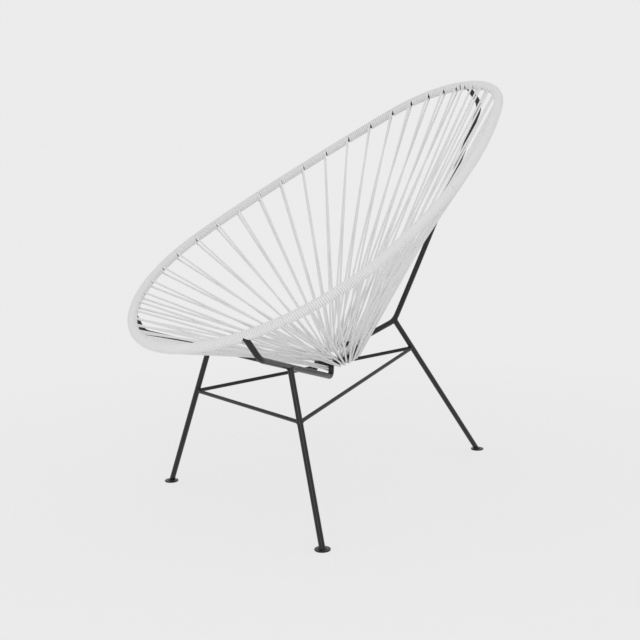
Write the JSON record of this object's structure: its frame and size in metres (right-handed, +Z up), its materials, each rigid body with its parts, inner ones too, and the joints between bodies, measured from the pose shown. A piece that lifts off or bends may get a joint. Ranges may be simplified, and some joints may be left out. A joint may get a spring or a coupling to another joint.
{
  "type": "acapulco chair",
  "caption": "Egg-shaped patio lounge chair: white vinyl cord wound round a bent steel rim and strung to a small inner ring, on three welded splayed legs with disc feet.",
  "frame": {"origin": "on the floor, under the middle of the overall box", "axes": "+Z up, -Y the way the sitter faces, +Y to the back, +X the sitter's left"},
  "size_m": [0.6925, 0.915, 0.8996],
  "materials": {
    "frame_steel": "semi-matt black powder coat",
    "vinyl_cord": "satin white vinyl cord"
  },
  "bodies": {
    "root": {"outer_rim": "frame_steel", "inner_ring": "frame_steel", "arm_left": "frame_steel", "arm_right": "frame_steel", "arm_back": "frame_steel", "leg_left": "frame_steel", "leg_right": "frame_steel", "leg_back": "frame_steel", "stretcher_front": "frame_steel", "stretcher_left": "frame_steel", "stretcher_right": "frame_steel", "foot_disc_left": "frame_steel", "foot_disc_right": "frame_steel", "foot_disc_back": "frame_steel", "cord_loops_01": "vinyl_cord", "cord_loops_02": "vinyl_cord", "cord_loops_03": "vinyl_cord", "cord_loops_04": "vinyl_cord", "cord_loops_05": "vinyl_cord", "cord_loops_06": "vinyl_cord", "cord_loops_07": "vinyl_cord", "cord_loops_08": "vinyl_cord", "cord_loops_09": "vinyl_cord", "cord_loops_10": "vinyl_cord", "cord_loops_11": "vinyl_cord", "cord_loops_12": "vinyl_cord", "cord_loops_13": "vinyl_cord", "cord_loops_14": "vinyl_cord", "cord_loops_15": "vinyl_cord", "cord_loops_16": "vinyl_cord", "cord_loops_17": "vinyl_cord", "cord_loops_18": "vinyl_cord", "cord_loops_19": "vinyl_cord", "cord_loops_20": "vinyl_cord", "cord_loops_21": "vinyl_cord", "cord_loops_22": "vinyl_cord", "cord_loops_23": "vinyl_cord", "cord_loops_24": "vinyl_cord", "cord_loops_25": "vinyl_cord", "cord_loops_26": "vinyl_cord"}
  },
  "joints": []
}
